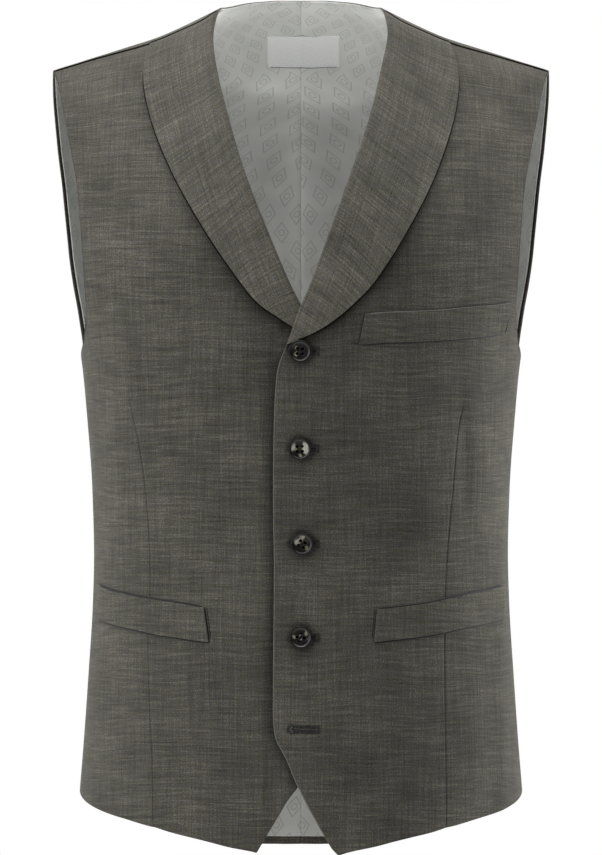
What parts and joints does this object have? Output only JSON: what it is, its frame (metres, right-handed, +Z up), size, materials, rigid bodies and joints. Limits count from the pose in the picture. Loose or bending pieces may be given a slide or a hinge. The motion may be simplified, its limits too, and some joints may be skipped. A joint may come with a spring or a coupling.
{
  "type": "suit waistcoat in its worn shape, held up by the shoulders of a wearer",
  "caption": "Hollow, worn-shape suit waistcoat with shawl collar, buttoned overlapping fronts, welt pockets, satin-lined back and open neck, armholes and hem.",
  "frame": {"origin": "on the centre line, level with the neck points, above the line of the shoulder tips: where the wearer's shoulders hold the waistcoat up", "axes": "+Z up, -Y the front of the garment, +X the wearer's left"},
  "size_m": [0.374, 0.2706, 0.64],
  "materials": {
    "suiting": "matt wool suiting, grey-taupe melange",
    "lining": "pale grey satin with a small tone-on-tone repeat",
    "horn": "polished dark horn-like resin",
    "label": "plain silver-white satin"
  },
  "bodies": {
    "root": {"front_left": "suiting", "front_right": "suiting", "back_left": "suiting", "back_right": "suiting", "lining_left": "lining", "lining_right": "lining", "collar_left": "suiting", "collar_right": "suiting", "welt_breast": "suiting", "welt_left": "suiting", "welt_right": "suiting", "button_1": "horn", "button_2": "horn", "button_3": "horn", "button_4": "horn", "label": "label"}
  },
  "joints": []
}
